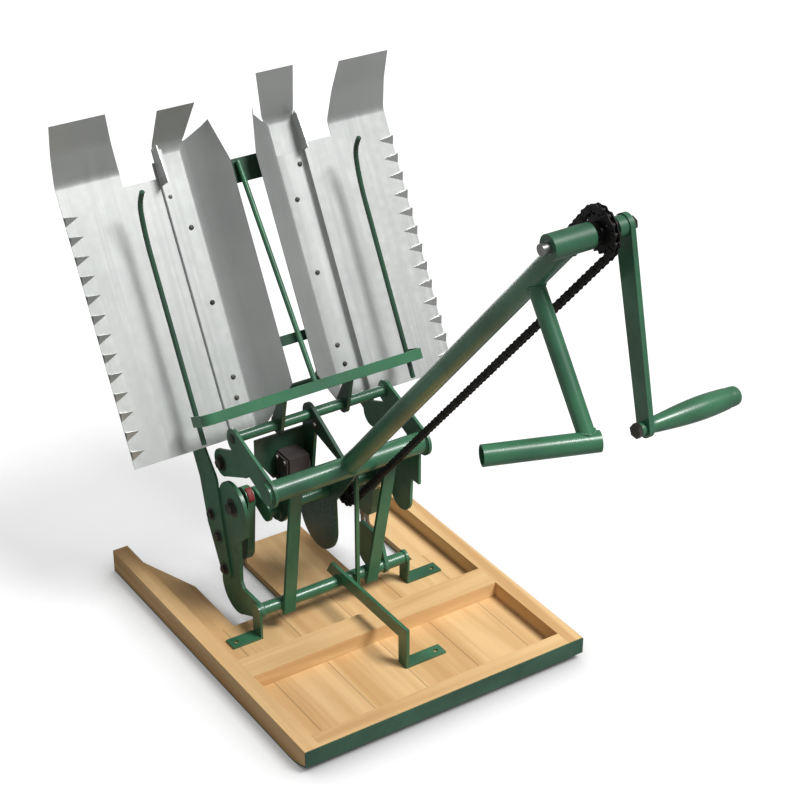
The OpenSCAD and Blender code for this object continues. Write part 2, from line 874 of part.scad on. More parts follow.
module planting_arm() {
    color(dark_green) difference() {
        plate_yz(arm_x, arm_t) difference() {
            wrap([pin_y, pin_z], pin_d/2 + 12, [arm_end_y, arm_end_z], leaf_r);
            translate([arm_end_y - leaf_r, arm_end_z - fork_seat - leaf_r]) square([2*leaf_r, leaf_r]);
        }
        bar_x(pin_d + 2*run_gap, arm_x - 1, arm_x + arm_t + 1, pin_y, pin_z);
    }
}

// Two-tined fork under a planting arm
module planting_fork() {
    tine = 4;
    block = 10;
    color(steel) {
        translate([arm_x, arm_end_y - 6, arm_end_z - fork_seat - block]) cube([arm_t, 12, block]);
        for (x = [arm_x, arm_x + arm_t - tine]) {
            translate([x, arm_end_y - 3, arm_end_z - fork_l]) cube([tine, 6, fork_l - fork_seat - block + eps]);
        }
    }
}

module right_arm() { planting_arm(); }
module left_arm() { mirror([1, 0, 0]) planting_arm(); }
module right_fork() { planting_fork(); }
module left_fork() { mirror([1, 0, 0]) planting_fork(); }

// Sheet leaning back with its top end folded upright, cut to an outline seen square to the sheet
module folded_sheet(off, fold, lip) {
    over = [-lip*sin(tray_lean), fold + lip*cos(tray_lean)];
    intersection() {
        translate([-sled_w, off, 0]) rotate([90, 0, 90]) linear_extrude(2*sled_w) polygon([
            [0, 0],
            [sheet_t, 0],
            [sheet_t, fold + sheet_t*tan(tray_lean/2)],
            over + sheet_t*[cos(tray_lean), sin(tray_lean)],
            over,
            [0, fold]
        ]);
        translate([0, sled_w, 0]) rotate([90, 0, 0]) linear_extrude(2*sled_w) children();
    }
}

// Dart pressed into the sheet's outer edge, pointing inward
module dart() {
    difference() {
        rotate([90, 0, 0]) linear_extrude(tooth_rise) polygon([[-tooth_l, 0], [0, -tooth_w/2], [0, tooth_w/2]]);
        translate([-tooth_l, 0, -tooth_w]) rotate([0, 0, -atan(tooth_rise/tooth_l)])
            translate([-tooth_l, -2*tooth_l, 0]) cube([3*tooth_l, 2*tooth_l, 2*tooth_w]);
    }
}

module tray() {
    outer = tray_gap + tray_w;
    pitch = tray_l/(tooth_count + 1.5);
    lip_top = tray_l + lip_h;
    notch_l = tray_gap + inner_lip_w - 14;
    notch_r = outer - outer_lip_w;
    notch_d = 26;
    color(zinc) tray_frame() {
        folded_sheet(0, tray_l, lip_h) polygon([
            [tray_gap, 0],
            [outer, 0],
            [outer, tray_l],
            [outer + 4, lip_top],
            [notch_r + 20, lip_top],
            [notch_r, tray_l],
            [notch_r, tray_l - notch_d],
            [notch_l, tray_l - notch_d],
            [notch_l, tray_l],
            [tray_gap, tray_l]
        ]);
        for (i = [0:tooth_count - 1]) {
            translate([outer, eps, pitch*(i + 0.7)]) dart();
        }
    }
}

// Flared inner wall with a floor screwed to the sheet, a raised edge and a lip on top
module tray_wall() {
    wall_l = tray_l + wall_over;
    lip_top = wall_l + wall_lip_h;
    color(zinc) tray_frame() {
        difference() {
            linear_extrude(wall_l + wall_peak) polygon([
                [tray_gap, 0],
                [tray_gap + flange_w, 0],
                [tray_gap + flange_w, -edge_h],
                [tray_gap + flange_w - sheet_t, -edge_h],
                [tray_gap + flange_w - sheet_t, -sheet_t],
                [tray_gap + sheet_t, -sheet_t],
                [tray_gap - wall_flare + sheet_t, -wall_d],
                [tray_gap - wall_flare, -wall_d]
            ]);
            translate([-sled_w, 0, 0]) rotate([90, 0, 90]) linear_extrude(2*sled_w) polygon([
                [1, wall_l],
                [-sheet_t - 1, wall_l],
                [-wall_d - 1, wall_l + wall_peak],
                [-wall_d - 1, wall_l + 2*wall_peak],
                [1, wall_l + 2*wall_peak]
            ]);
            translate([-sled_w, 0, 0]) rotate([90, 0, 90]) linear_extrude(2*sled_w) polygon([
                [-4, -1],
                [-wall_d - 1, -1],
                [-wall_d - 1, 40]
            ]);
        }
        folded_sheet(-sheet_t, wall_l, wall_lip_h) polygon([
            [tray_gap + sheet_t, wall_l - 60],
            [tray_gap + flange_w, wall_l - 60],
            [tray_gap + flange_w, wall_l],
            [tray_gap + flange_w, lip_top],
            [tray_gap - 20, lip_top],
            [tray_gap - 12, wall_l + 8],
            [tray_gap + sheet_t, wall_l - 4]
        ]);
    }
}

module right_tray() { tray(); }
module left_tray() { mirror([1, 0, 0]) tray(); }
module right_wall() { tray_wall(); }
module left_wall() { mirror([1, 0, 0]) tray_wall(); }

// Flat bar in front of both trays, its ends bent back to the retaining rods
module holder_bar() {
    half = rod_x + rod_d/2;
    back = holder_off - rod_off;
    p = tray_point(0, holder_off, holder_up);
    color(green) tray_frame() translate([0, -holder_off, holder_up - holder_h/2]) {
        translate([-half - holder_t, -holder_t, 0]) cube([2*half + 2*holder_t, holder_t, holder_h]);
        for (x = [-half - holder_t, half]) {
            translate([x, -holder_t, 0]) cube([holder_t, back + holder_t + rod_d/2, holder_h]);
        }
    }
}

// Rods in front of the sheets, their top ends bent towards the operator over a hammered knuckle
module retaining_rods() {
    bend = 35;
    tip_l = 18;
    knuckle = 1.08;
    run = tray_l - 58;
    low = 8;
    color(green) both_sides() tray_frame() translate([rod_x, -rod_off, low]) {
        cylinder(d = rod_d, h = run);
        translate([0, 0, run]) {
            sphere(d = rod_d*knuckle);
            rotate([bend, 0, 0]) cylinder(d = rod_d, h = tip_l);
        }
    }
}

// Cross bars between the trays' inner walls
module spreader_bars() {
    half = tray_gap - wall_flare*spreader_off/wall_d;
    color(dark_green) tray_frame() for (up = [143, tray_l - 40]) {
        translate([-half + 0.2, -spreader_off, up]) cube([2*half - 0.4, 5, spreader_h]);
    }
}

module tray_strut() {
    a = tray_point(0, spreader_off + 5, tray_l - 40 + spreader_h/2);
    b = tray_point(0, holder_off - 5, holder_up);
    color(green) bar(a, b, rod_d);
}

shoe_x = half_span - tray_travel - 13;
shoe_low = 22;
shoe_high = 130;

// Plates on the trays' backs and on the holder bar that slide on the two rails
module rail_shoes() {
    low = tray_point(0, -sheet_t, shoe_low);
    high = tray_point(0, -sheet_t, shoe_high);
    ring = rail_d/2 + 7;
    bore = rail_d + 2*slide_gap;
    front_x = 60;
    bar_low = tray_point(0, holder_off, holder_up - holder_h/2);
    bar_high = tray_point(0, holder_off, holder_up + holder_h/2);
    color(dark_green) both_sides() {
        difference() {
            plate_yz(shoe_x, flat_t) {
                translate([rear_rail_y, rear_rail_z]) circle(ring);
                polygon([
                    [low[1], low[2]], [high[1], high[2]],
                    [rear_rail_y + ring*cos(40), rear_rail_z + ring*sin(40)],
                    [rear_rail_y - ring*cos(40), rear_rail_z - ring*sin(40)]
                ]);
            }
            bar_x(bore, shoe_x - 1, shoe_x + flat_t + 1, rear_rail_y, rear_rail_z);
        }
        difference() {
            plate_yz(front_x, flat_t) {
                translate([front_rail_y, front_rail_z]) circle(ring);
                polygon([
                    [bar_low[1], bar_low[2]], [bar_high[1], bar_high[2]],
                    [front_rail_y + ring*cos(10), front_rail_z + ring*sin(10)],
                    [front_rail_y - ring*cos(10), front_rail_z - ring*sin(10)]
                ]);
            }
            bar_x(bore, front_x - 1, front_x + flat_t + 1, front_rail_y, front_rail_z);
        }
    }
}

sole_plate();
side_rails();
front_batten();
cross_batten();
front_floor();
middle_tongue();
side_tongues();
bottom_tube();
end_feet();
front_leg();
left_leg();
middle_leg();
right_leg();
main_tube();
side_bars();
side_struts();
rear_rail();
front_rail();
rail_brackets();
centre_plate();
back_panel();
feed_box();
shaft_hangers();
handle_tube();
bearing_sleeve();
grip_post();
hand_grip();
drive_chain();
crank_shaft();
upper_wheel();
crank_arm();
crank_grip();
drive_shaft();
lower_wheel();
left_arm();
left_fork();
right_arm();
right_fork();
left_tray();
right_tray();
left_wall();
right_wall();
holder_bar();
retaining_rods();
spreader_bars();
tray_strut();
rail_shoes();
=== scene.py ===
import math

import bmesh
import bpy
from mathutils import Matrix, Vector


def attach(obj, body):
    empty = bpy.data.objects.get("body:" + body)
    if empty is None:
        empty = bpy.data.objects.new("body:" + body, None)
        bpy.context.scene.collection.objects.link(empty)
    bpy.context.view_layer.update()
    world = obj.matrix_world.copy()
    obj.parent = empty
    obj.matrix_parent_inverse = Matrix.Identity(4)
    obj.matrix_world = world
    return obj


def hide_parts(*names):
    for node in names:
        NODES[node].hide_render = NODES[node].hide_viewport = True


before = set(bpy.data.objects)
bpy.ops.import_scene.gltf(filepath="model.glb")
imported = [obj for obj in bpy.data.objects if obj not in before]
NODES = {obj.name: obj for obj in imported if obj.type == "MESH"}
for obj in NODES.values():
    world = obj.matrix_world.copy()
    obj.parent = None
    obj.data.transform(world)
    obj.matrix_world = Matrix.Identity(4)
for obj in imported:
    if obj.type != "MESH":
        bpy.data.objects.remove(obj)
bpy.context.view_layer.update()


# Colours

def srgb(r, g, b):
    def lin(c):
        c = c / 255
        return c / 12.92 if c <= 0.04045 else ((c + 0.055) / 1.055) ** 2.4
    return (lin(r), lin(g), lin(b), 1)


GREEN = srgb(58, 112, 80)
GREEN_LOW = srgb(38, 82, 58)
DARK_GREEN = srgb(42, 78, 57)
DARK_GREEN_LOW = srgb(28, 54, 40)
# Paler green for the plates that face away from the key light: painted fill light that lifts their
# shaded sides
PLATE_GREEN_PAINTED_FILL = srgb(66, 116, 86)
PLATE_LOW_PAINTED_FILL = srgb(46, 86, 62)
SOLE_GREEN = srgb(52, 92, 70)
SOLE_LOW = srgb(34, 66, 50)
WOOD_PALE = srgb(222, 186, 134)
WOOD_DARK = srgb(198, 156, 104)
ZINC = srgb(196, 198, 196)
ZINC_LOW = srgb(182, 185, 183)
CHAIN = srgb(46, 42, 42)
CHAIN_LOW = srgb(24, 22, 23)
STEEL = srgb(160, 162, 160)
STEEL_LOW = srgb(112, 112, 110)
BOLT = srgb(92, 90, 84)
BOLT_LOW = srgb(52, 50, 46)
RED = srgb(140, 36, 40)
RED_LOW = srgb(92, 24, 28)
CAST = srgb(70, 63, 61)
CAST_LOW = srgb(46, 41, 41)
FLOOR_TO_PART = (0.3, 0.3, 0.3, 1)
FLOOR_TO_CAMERA = (0.9, 0.9, 0.9, 1)
WHITE = (1, 1, 1, 1)


# Shader groups shared by the materials

def add_node(tree, kind, inputs=None, **settings):
    """New node with its settings; an input takes a value or another node's output."""
    node = tree.nodes.new(kind)
    for key, value in settings.items():
        setattr(node, key, value)
    for key, value in (inputs or {}).items():
        if isinstance(value, bpy.types.NodeSocket):
            tree.links.new(value, node.inputs[key])
        else:
            node.inputs[key].default_value = value
    return node


def new_group(name, ins, outs):
    tree = bpy.data.node_groups.new(name, "ShaderNodeTree")
    for label, kind, value in ins:
        socket = tree.interface.new_socket(name=label, in_out="INPUT", socket_type=kind)
        socket.default_value = value
    for label in outs:
        tree.interface.new_socket(name=label, in_out="OUTPUT", socket_type="NodeSocketFloat")
    return tree, tree.nodes.new("NodeGroupInput").outputs


def mottle_group():
    """Two sizes of noise: uneven paint, dust and handling."""
    tree, given = new_group("mottle", [("Scale", "NodeSocketFloat", 8.0),
                                       ("Fine", "NodeSocketFloat", 120.0)], ["Broad", "Grain"])
    spot = add_node(tree, "ShaderNodeTexCoord").outputs["Object"]
    broad = add_node(tree, "ShaderNodeTexNoise",
                     {"Vector": spot, "Scale": given["Scale"], "Detail": 6.0, "Roughness": 0.6})
    fine = add_node(tree, "ShaderNodeTexNoise",
                    {"Vector": spot, "Scale": given["Fine"], "Detail": 3.0})
    spread = add_node(tree, "ShaderNodeMapRange",
                      {"Value": broad.outputs["Fac"], "From Min": 0.35, "From Max": 0.68})
    add_node(tree, "NodeGroupOutput",
             {"Broad": spread.outputs["Result"], "Grain": fine.outputs["Fac"]})
    return tree


def grain_group():
    """Streaks along one direction, chosen by the stretch: wood fibres or rolling marks."""
    tree, given = new_group("wood_grain", [("Stretch", "NodeSocketVector", (30.0, 1.5, 30.0))],
                            ["Streak", "Fibre"])
    spot = add_node(tree, "ShaderNodeTexCoord").outputs["Object"]
    drawn = add_node(tree, "ShaderNodeVectorMath", {0: spot, 1: given["Stretch"]},
                     operation="MULTIPLY").outputs["Vector"]
    streak = add_node(tree, "ShaderNodeTexNoise",
                      {"Vector": drawn, "Scale": 1.0, "Detail": 5.0, "Distortion": 0.7})
    fibre = add_node(tree, "ShaderNodeTexNoise", {"Vector": drawn, "Scale": 7.0, "Detail": 4.0})
    spread = add_node(tree, "ShaderNodeMapRange",
                      {"Value": streak.outputs["Fac"], "From Min": 0.36, "From Max": 0.66})
    add_node(tree, "NodeGroupOutput",
             {"Streak": spread.outputs["Result"], "Fibre": fibre.outputs["Fac"]})
    return tree


MOTTLE = mottle_group()
GRAIN = grain_group()


# Materials

def new_material(name):
    mat = bpy.data.materials.new(name)
    mat.use_nodes = True
    return mat, mat.node_tree, mat.node_tree.nodes["Principled BSDF"]


def use_group(tree, group, **values):
    """Places a shared group in a material and sets its inputs."""
    return add_node(tree, "ShaderNodeGroup", {key.capitalize(): v for key, v in values.items()},
                    node_tree=group).outputs


def mix_colour(tree, share, first, second):
    return add_node(tree, "ShaderNodeMix", {"A": first, "B": second, "Factor": share},
                    data_type="RGBA").outputs["Result"]


def span(tree, value, low, high):
    return add_node(tree, "ShaderNodeMapRange",
                    {"Value": value, "To Min": low, "To Max": high}).outputs["Result"]


def math_node(tree, operation, first, second=None):
    inputs = {0: first} if second is None else {0: first, 1: second}
    return add_node(tree, "ShaderNodeMath", inputs, operation=operation).outputs["Value"]


def finish(tree, shader, colour, roughness, height, strength, distance, metallic=0.0):
    """Feeds colour, roughness and a fine relief to the material's shader."""
    tree.links.new(colour, shader.inputs["Base Color"])
    tree.links.new(roughness, shader.inputs["Roughness"])
    shader.inputs["Metallic"].default_value = metallic
    relief = add_node(tree, "ShaderNodeBump",
                      {"Strength": strength, "Distance": distance, "Height": height})
    tree.links.new(relief.outputs["Normal"], shader.inputs["Normal"])


def paint(name, colour, low, scale=9.0, rough=(0.26, 0.46), coat=0.3):
    mat, tree, shader = new_material(name)
    mottle = use_group(tree, MOTTLE, scale=scale, fine=260.0)
    finish(tree, shader, mix_colour(tree, mottle["Broad"], colour, low),
           span(tree, mottle["Broad"], *rough), mottle["Grain"], 0.12, 0.0006)
    shader.inputs["Coat Weight"].default_value = coat
    shader.inputs["Coat Roughness"].default_value = 0.15
    return mat


def board_seams(tree, colour, board):
    """Boards side by side: each a little darker or paler, with a dark seam between them."""
    axes = add_node(tree, "ShaderNodeSeparateXYZ",
                    {"Vector": add_node(tree, "ShaderNodeTexCoord").outputs["Object"]})
    place = math_node(tree, "DIVIDE", axes.outputs["X"], board)
    shade = add_node(tree, "ShaderNodeTexWhiteNoise", noise_dimensions="1D")
    tree.links.new(math_node(tree, "FLOOR", place), shade.inputs["W"])
    colour = mix_colour(tree, span(tree, shade.outputs["Value"], 0.0, 0.22), colour, WOOD_DARK)
    seam = add_node(tree, "ShaderNodeMapRange",
                    {"Value": math_node(tree, "PINGPONG", place, 0.5), "From Min": 0.004,
                     "From Max": 0.016, "To Min": 0.62, "To Max": 1.0})
    return add_node(tree, "ShaderNodeMix",
                    {"Factor": 1.0, "A": colour, "B": seam.outputs["Result"]},
                    data_type="RGBA", blend_type="MULTIPLY").outputs["Result"]


def wood(name, stretch, board=0.0):
    """Planed pine; with a board width, the surface is split into boards."""
    mat, tree, shader = new_material(name)
    grain = use_group(tree, GRAIN, stretch=stretch)
    colour = mix_colour(tree, grain["Streak"], WOOD_PALE, WOOD_DARK)
    if board:
        colour = board_seams(tree, colour, board)
    finish(tree, shader, colour, span(tree, grain["Fibre"], 0.55, 0.8),
           grain["Fibre"], 0.25, 0.0008)
    return mat


def zinc(name):
    """Rolled zinc: fine streaks up the sheet and small spangles in the roughness."""
    mat, tree, shader = new_material(name)
    mottle = use_group(tree, MOTTLE, scale=5.0, fine=90.0)
    rolled = use_group(tree, GRAIN, stretch=(160.0, 3.0, 3.0))
    spangle = add_node(tree, "ShaderNodeTexVoronoi",
                       {"Vector": add_node(tree, "ShaderNodeTexCoord").outputs["Object"],
                        "Scale": 70.0})
    both = math_node(tree, "MULTIPLY", spangle.outputs["Distance"], rolled["Streak"])
    finish(tree, shader, mix_colour(tree, mottle["Broad"], ZINC, ZINC_LOW),
           span(tree, both, 0.4, 0.5), mottle["Grain"], 0.04, 0.0005, 0.85)
    return mat


def metal(name, colour, low, rough, metallic):
    mat, tree, shader = new_material(name)
    mottle = use_group(tree, MOTTLE, scale=20.0, fine=400.0)
    finish(tree, shader, mix_colour(tree, mottle["Broad"], colour, low),
           span(tree, mottle["Grain"], *rough), mottle["Grain"], 0.08, 0.0004, metallic)
    return mat


MATS = {
    "green": paint("green_enamel", GREEN, GREEN_LOW),
    "dark": paint("dark_green_enamel", DARK_GREEN, DARK_GREEN_LOW),
    # Lighter paint on the side plates, struts, brackets and arms: painted fill light on faces
    # turned away from the key
    "plate": paint("plate_enamel_painted_fill", PLATE_GREEN_PAINTED_FILL, PLATE_LOW_PAINTED_FILL, rough=(0.34, 0.52), coat=0.15),
    "sole": paint("sole_enamel", SOLE_GREEN, SOLE_LOW),
    "wood_y": wood("pine_along", (34.0, 1.6, 34.0)),
    "wood_x": wood("pine_across", (1.6, 34.0, 34.0)),
    "boards": wood("pine_boards", (34.0, 1.6, 34.0), board=0.1),
    "zinc": zinc("zinc_sheet"),
    "chain": metal("oiled_chain", CHAIN, CHAIN_LOW, (0.35, 0.6), 0.6),
    "steel": metal("bare_steel", STEEL, STEEL_LOW, (0.25, 0.45), 0.95),
    "bolt": metal("blackened_bolt", BOLT, BOLT_LOW, (0.35, 0.55), 0.7),
    "red": paint("red_rubber", RED, RED_LOW, 30.0, (0.5, 0.7), 0.0),
    "cast": paint("black_casting", CAST, CAST_LOW, 14.0, (0.5, 0.7), 0.0),
}

# Finish of each solid; the rest are green
LOOK = {
    "wood_y": ["side_rails", "middle_tongue", "side_tongues"],
    "boards": ["front_floor"],
    "wood_x": ["front_batten", "cross_batten"],
    "sole": ["sole_plate"],
    "dark": ["centre_plate", "back_panel", "shaft_hangers", "spreader_bars", "rail_shoes"],
    "plate": ["side_bars", "side_struts", "rail_brackets", "left_arm", "right_arm"],
    "zinc": ["left_tray", "right_tray", "left_wall", "right_wall"],
    "chain": ["drive_chain", "upper_wheel", "lower_wheel"],
    "steel": ["crank_shaft", "left_fork", "right_fork"],
    "cast": ["feed_box"],
}
look_of = {node: key for key, nodes in LOOK.items() for node in nodes}
for name, obj in NODES.items():
    obj.data.materials.clear()
    obj.data.materials.append(MATS[look_of.get(name, "green")])


# Broken edges on sawn wood and cut bar, widths in millimetres

EDGES = {
    0.7: ["side_struts", "rail_brackets"],
    0.8: ["end_feet", "side_bars"],
    0.9: ["left_leg", "middle_leg", "right_leg", "front_leg"],
    1.0: ["crank_arm"],
    1.2: ["middle_tongue", "side_tongues"],
    1.4: ["front_batten"],
    1.6: ["side_rails", "cross_batten", "left_arm", "right_arm"],
    2.0: ["feed_box"],
}
for width, names in EDGES.items():
    for name in names:
        mod = NODES[name].modifiers.new("edge", "BEVEL")
        mod.width = width * 0.001
        mod.segments = 2
        mod.limit_method = "ANGLE"
        mod.angle_limit = math.radians(50)


# Sizes repeated from the part's source, in metres

LEAN = math.radians(28.5)
TRAY_Y, TRAY_Z = 0.115, 0.331
TRAY_L, LIP_H = 0.463, 0.105
TRAY_GAP, TRAY_W = 0.078, 0.229
SHEET = 0.0015
CHANNEL_W, WALL_D, WALL_L = 0.054, 0.052, TRAY_L + 0.022
X_AXIS = Vector((1, 0, 0))
MAIN = Vector((0, -0.031, 0.308))
CRANK = Vector((0, -0.578, 0.927))
SHAFT = Vector((0, 0.053, 0.215))
BOTTOM = Vector((0, 0.004, 0.063))
FRONT_RAIL = Vector((0, 0.083, 0.352))
REAR_RAIL = Vector((0, 0.209, 0.327))
CHAIN_X = 0.04605
PITCH = 0.0127
WHEEL_R = PITCH / (2 * math.sin(math.radians(180 / 16)))
ARM_L, ARM_TURN = 0.278, math.radians(14)
SPINDLE = CRANK - ARM_L * Vector((0, math.sin(ARM_TURN), math.cos(ARM_TURN)))
PIN_TURN = math.radians(20)
PIN = SHAFT + 0.04 * Vector((0, math.cos(PIN_TURN), math.sin(PIN_TURN)))

# Forms that only the scene has

WALL_FLARE = 0.054
CHAIN_SAG = 0.009


def tray_point(x, out, up):
    """Point on the leaning trays: across, out of the sheet and up along it."""
    return Vector((x, TRAY_Y + up * math.sin(LEAN) - out * math.cos(LEAN),
                   TRAY_Z + up * math.cos(LEAN) + out * math.sin(LEAN)))


def mirrored(point, side):
    return Vector((point.x * side, point.y, point.z))


# Mesh helpers

def add_piece(name, bm, mat, body, smooth=30):
    me = bpy.data.meshes.new(name)
    bmesh.ops.recalc_face_normals(bm, faces=bm.faces[:])
    bm.to_mesh(me)
    bm.free()
    return add_mesh(name, me, mat, body, smooth)


def add_mesh(name, me, mat, body, smooth=30):
    me.name = name
    me.materials.clear()
    me.materials.append(MATS[mat])
    me.polygons.foreach_set("use_smooth", [True] * len(me.polygons))
    me.set_sharp_from_angle(angle=math.radians(smooth))
    o = bpy.data.objects.new(name, me)
    bpy.context.scene.collection.objects.link(o)
    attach(o, body)
    return o


def across(axis, hint=Vector((0.3, 0.9, 0.1))):
    """Two directions at right angles to an axis, the first one also to the hint."""
    side = axis.cross(hint)
    if side.length < 1e-6:
        side = axis.cross(Vector((0, 0, 1)) if abs(axis.z) < 0.9 else X_AXIS)
    side.normalize()
    return side, side.cross(axis).normalized()


def ring(bm, centre, ways, radius, sides, turn=0.0):
    angles = [turn + k * math.tau / sides for k in range(sides)]
    return [bm.verts.new(centre + radius * (math.cos(f) * ways[0] + math.sin(f) * ways[1]))
            for f in angles]


def skin(bm, rings):
    """Joins rings of points one after the other and closes both ends."""
    count = len(rings[0])
    for near, far in zip(rings, rings[1:]):
        for k in range(count):
            after = (k + 1) % count
            bm.faces.new((near[k], near[after], far[after], far[k]))
    bm.faces.new(rings[0][::-1])
    bm.faces.new(rings[-1])


def thicken(bm, sheet, front, back):
    """Plate between two sets of points, joined as the faces and the rim of a sheet are."""
    for face in sheet.faces:
        ids = [v.index for v in face.verts]
        bm.faces.new([front[k] for k in ids])
        bm.faces.new([back[k] for k in reversed(ids)])
    for edge in sheet.edges:
        if len(edge.link_faces) == 1:
            i, j = (v.index for v in edge.verts)
            bm.faces.new((front[i], front[j], back[j], back[i]))
    sheet.free()


def cut(sheet, spot, normal, clear=False):
    bmesh.ops.bisect_plane(sheet, geom=sheet.verts[:] + sheet.edges[:] + sheet.faces[:], dist=1e-6,
                           plane_co=spot, plane_no=normal, clear_outer=clear)


def sweep(bm, path, radius, hint, sides=16):
    """Round bar along a path, with domed ends."""
    last = len(path) - 1
    ends = {0: ((0.04, 0.78), (0.25, 1.0)), last: ((-0.25, 1.0), (-0.04, 0.78))}
    rings = []
    for k, spot in enumerate(path):
        along = (path[min(k + 1, last)] - path[max(k - 1, 0)]).normalized()
        for shift, size in ends.get(k, ((0.0, 1.0),)):
            rings.append(ring(bm, spot + along * radius * shift, across(along, hint),
                              radius * size, sides))
    skin(bm, rings)


def lathe(bm, spot, axis, profile, sides=40):
    """Turned piece: profile holds (distance along the axis, radius)."""
    skin(bm, [ring(bm, spot + axis * d, across(axis), r, sides) for d, r in profile])


def hex_bolt(bm, spot, axis, flats=0.013, height=0.0055, washer=True, stud=0.0, turn=0.0):
    """Hexagon head with a chamfered top, on a washer, with the bolt's end when it is a nut."""
    base = spot
    if washer:
        lathe(bm, spot, axis,
              [(0, flats * 0.86), (0.0009, flats * 0.88), (0.0014, flats * 0.85)], 24)
        base = spot + axis * 0.0013
    radius = flats / math.sqrt(3)
    skin(bm, [ring(bm, base + axis * d, across(axis), radius * size, 6, turn)
              for d, size in ((0, 1.0), (height * 0.82, 1.0), (height, 0.86))])
    if stud > 0:
        lathe(bm, base + axis * (height - 0.0005), axis,
              [(0, flats * 0.3), (stud * 0.75, flats * 0.3), (stud, flats * 0.23)], 16)


def pan_screw(bm, spot, axis, r=0.0042):
    lathe(bm, spot, axis, [(0, r), (r * 0.25, r), (r * 0.5, r * 0.86), (r * 0.66, r * 0.5),
                           (r * 0.6, r * 0.2)], 16)


# Geometry node trees

def node_tree(name, sockets):
    tree = bpy.data.node_groups.new(name, "GeometryNodeTree")
    for label, kind in [("Geometry", "NodeSocketGeometry")] + sockets:
        tree.interface.new_socket(name=label, in_out="INPUT", socket_type=kind)
    tree.interface.new_socket(name="Geometry", in_out="OUTPUT", socket_type="NodeSocketGeometry")
    return tree, tree.nodes.new("NodeGroupInput").outputs


def end_tree(tree, instances, material):
    """Makes the instances real, gives them their material and hands them out."""
    real = add_node(tree, "GeometryNodeRealizeInstances", {"Geometry": instances})
    dressed = add_node(tree, "GeometryNodeSetMaterial",
                       {"Geometry": real.outputs["Geometry"], "Material": material})
    add_node(tree, "NodeGroupOutput", {"Geometry": dressed.outputs["Geometry"]})


def bake(name, verts, edges, tree, values):
    """Runs a tree on a wire mesh and returns the resulting mesh."""
    me = bpy.data.meshes.new(name + "_wire")
    me.from_pydata(verts, edges, [])
    o = bpy.data.objects.new(name + "_wire", me)
    bpy.context.scene.collection.objects.link(o)
    mod = o.modifiers.new("nodes", "NODES")
    mod.node_group = tree
    for item in tree.interface.items_tree:
        if item.item_type == "SOCKET" and item.in_out == "INPUT" and item.name in values:
            mod[item.identifier] = values[item.name]
    deps = bpy.context.evaluated_depsgraph_get()
    deps.update()
    done = bpy.data.meshes.new_from_object(o.evaluated_get(deps), depsgraph=deps)
    o.modifiers.remove(mod)
    bpy.data.objects.remove(o)
    bpy.data.meshes.remove(me)
    return done


def chain_tree():
    """Inner and outer links set in turn along a closed path, turned about X to follow it."""
    tree, given = node_tree("chain_links", [
        ("Inner", "NodeSocketObject"), ("Outer", "NodeSocketObject"),
        ("Count", "NodeSocketInt"), ("Finish", "NodeSocketMaterial")])
    curve = add_node(tree, "GeometryNodeMeshToCurve", {"Mesh": given["Geometry"]})
    evenly = add_node(tree, "GeometryNodeResampleCurve",
                      {"Curve": curve.outputs["Curve"], "Count": given["Count"]})
    tangent = add_node(tree, "GeometryNodeInputTangent")
    align = add_node(tree, "FunctionNodeAlignRotationToVector",
                     {"Vector": tangent.outputs["Tangent"]}, axis="Y", pivot_axis="X")
    index = add_node(tree, "GeometryNodeInputIndex")
    odd = math_node(tree, "MODULO", index.outputs["Index"], 2.0)
    even = add_node(tree, "FunctionNodeBooleanMath", {0: odd}, operation="NOT").outputs["Boolean"]
    join = add_node(tree, "GeometryNodeJoinGeometry")
    for label, pick in (("Inner", odd), ("Outer", even)):
        shape = add_node(tree, "GeometryNodeObjectInfo", {"Object": given[label]})
        placed = add_node(tree, "GeometryNodeInstanceOnPoints",
                          {"Points": evenly.outputs["Curve"], "Selection": pick,
                           "Instance": shape.outputs["Geometry"],
                           "Rotation": align.outputs["Rotation"]})
        tree.links.new(placed.outputs["Instances"], join.inputs["Geometry"])
    end_tree(tree, join.outputs["Geometry"], given["Finish"])
    return tree


def weld_tree():
    """Overlapping drops of weld metal along wires, each a little different."""
    tree, given = node_tree("weld_bead", [
        ("Spacing", "NodeSocketFloat"), ("Size", "NodeSocketFloat"),
        ("Seed", "NodeSocketInt"), ("Finish", "NodeSocketMaterial")])
    curve = add_node(tree, "GeometryNodeMeshToCurve", {"Mesh": given["Geometry"]})
    evenly = add_node(tree, "GeometryNodeResampleCurve",
                      {"Curve": curve.outputs["Curve"], "Length": given["Spacing"]}, mode="LENGTH")
    drop = add_node(tree, "GeometryNodeMeshIcoSphere",
                    {"Radius": given["Size"], "Subdivisions": 2})
    size = add_node(tree, "FunctionNodeRandomValue", {2: 0.8, 3: 1.15, "Seed": given["Seed"]},
                    data_type="FLOAT")
    placed = add_node(tree, "GeometryNodeInstanceOnPoints",
                      {"Points": evenly.outputs["Curve"], "Instance": drop.outputs["Mesh"],
                       "Scale": size.outputs[1]})
    end_tree(tree, placed.outputs["Instances"], given["Finish"])
    return tree


# Roller chain

LINK_THICK, LINK_R, LINK_WAIST = 0.0014, 0.0059, 0.0047
ROLLER_R, RIVET_R = 0.0037, 0.0018


def link_plate(bm, x):
    """Side plate of a link: two round ends and a pinched waist, with broken edges."""
    rim = []
    steps = 10
    for end, start in ((1, -math.pi * 0.42), (-1, math.pi * 0.58)):
        for k in range(steps + 1):
            f = start + math.pi * 0.84 * k / steps
            rim.append((LINK_R * math.sin(f), end * PITCH / 2 + LINK_R * math.cos(f)))
        rim.append((LINK_WAIST * end, 0.0))
    layers = []
    for deep, size in ((0, 0.93), (0.2, 1.0), (0.8, 1.0), (1, 0.93)):
        longer = size + 0.6 * (1 - size)
        layers.append([bm.verts.new((x + LINK_THICK * deep, v * longer, u * size))
                       for u, v in rim])
    skin(bm, layers)


